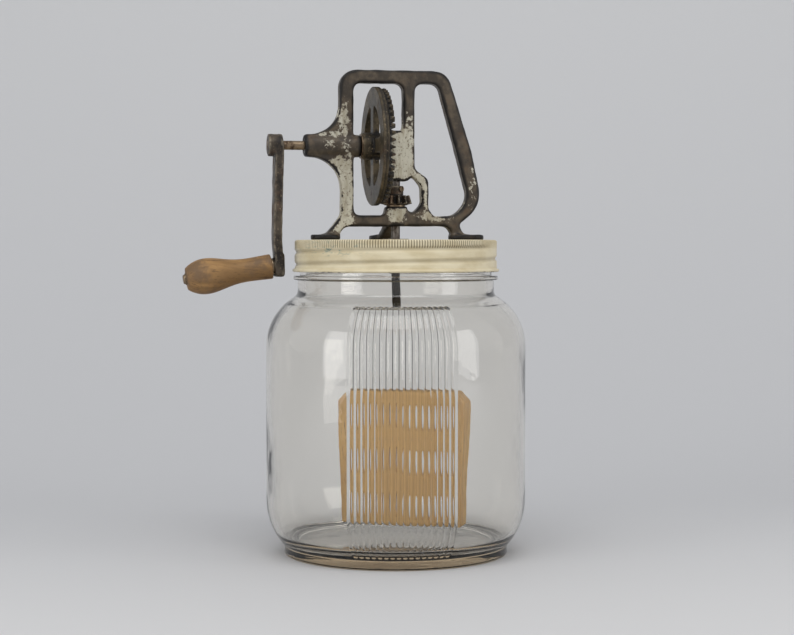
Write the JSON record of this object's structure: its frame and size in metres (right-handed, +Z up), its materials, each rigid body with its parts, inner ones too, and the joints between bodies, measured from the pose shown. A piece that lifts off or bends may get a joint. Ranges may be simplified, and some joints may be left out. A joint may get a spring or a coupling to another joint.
{
  "type": "hand-cranked glass jar butter churn",
  "caption": "Hand-cranked butter churn: a round glass jar with fluted front, a painted screw cap, an iron gear frame with a crank, and a wooden paddle on an upright shaft.",
  "frame": {"origin": "centre of the jar's foot, on the surface it stands on", "axes": "+Z up along the dasher shaft; -X towards the crank, along the crank shaft; -Y out of the jar's fluted front"},
  "size_m": [0.2396, 0.1815, 0.3367],
  "materials": {
    "glass": "clear pressed glass with a faint olive tint",
    "rubber": "old red rubber",
    "cap_paint": "worn cream paint on tin",
    "tin": "dull tin",
    "casting_paint": "iron casting with worn off-white paint and brown rust",
    "cast_iron": "dark, worn and slightly rusty",
    "steel": "dull, with brown stains",
    "grip_wood": "turned, dark with handling",
    "paddle_wood": "plain, unvarnished"
  },
  "bodies": {
    "jar": {"glass_jar": "glass"},
    "seal": {"sealing_ring": "rubber"},
    "bush": {"cap_bush": "tin"},
    "head": {"screw_cap": "cap_paint", "gear_frame": "casting_paint", "foot_screws": "steel", "foot_washers": "steel"},
    "crank": {"crank_shaft": "steel", "gear_washer": "steel", "drive_gear": "cast_iron", "gear_pin": "steel", "crank_arm": "cast_iron", "arm_pin": "steel", "handle_rod": "steel", "grip_collar": "steel", "grip_washer": "steel"},
    "grip": {"handle_grip": "grip_wood"},
    "dasher": {"dasher_shaft": "steel", "pinion": "cast_iron", "pinion_screw": "steel", "pinion_washer": "steel", "dasher_paddle": "paddle_wood", "paddle_pins": "steel"}
  },
  "joints": [
    {"name": "head_lift_off", "type": "slide", "parent": "jar", "child": "seal", "axis": [0, 0, 1], "range_m": [0, 0.24]},
    {"name": "cap_rise", "type": "slide", "parent": "seal", "child": "bush", "axis": [0, 0, 1], "range_m": [0, 0.0189]},
    {"name": "cap_turn", "type": "hinge", "parent": "bush", "child": "head", "pos_m": [0, 0, 0.219], "axis": [0, 0, 1], "range_deg": [0, 810]},
    {"name": "crank_turn", "type": "hinge", "parent": "head", "child": "crank", "pos_m": [0, 0, 0.2841], "axis": [1, 0, 0], "continuous": true},
    {"name": "grip_spin", "type": "hinge", "parent": "crank", "child": "grip", "pos_m": [-0.0825, 0, 0.2015], "axis": [-0.9893, 0, -0.1461], "continuous": true},
    {"name": "dasher_spin", "type": "hinge", "parent": "head", "child": "dasher", "pos_m": [0, 0, 0.2841], "axis": [0, 0, 1], "continuous": true}
  ],
  "couplings": [
    {"joint": "cap_rise", "follows": "cap_turn", "m_per_rad": 0.0013369},
    {"joint": "dasher_spin", "follows": "crank_turn", "ratio": -4}
  ]
}
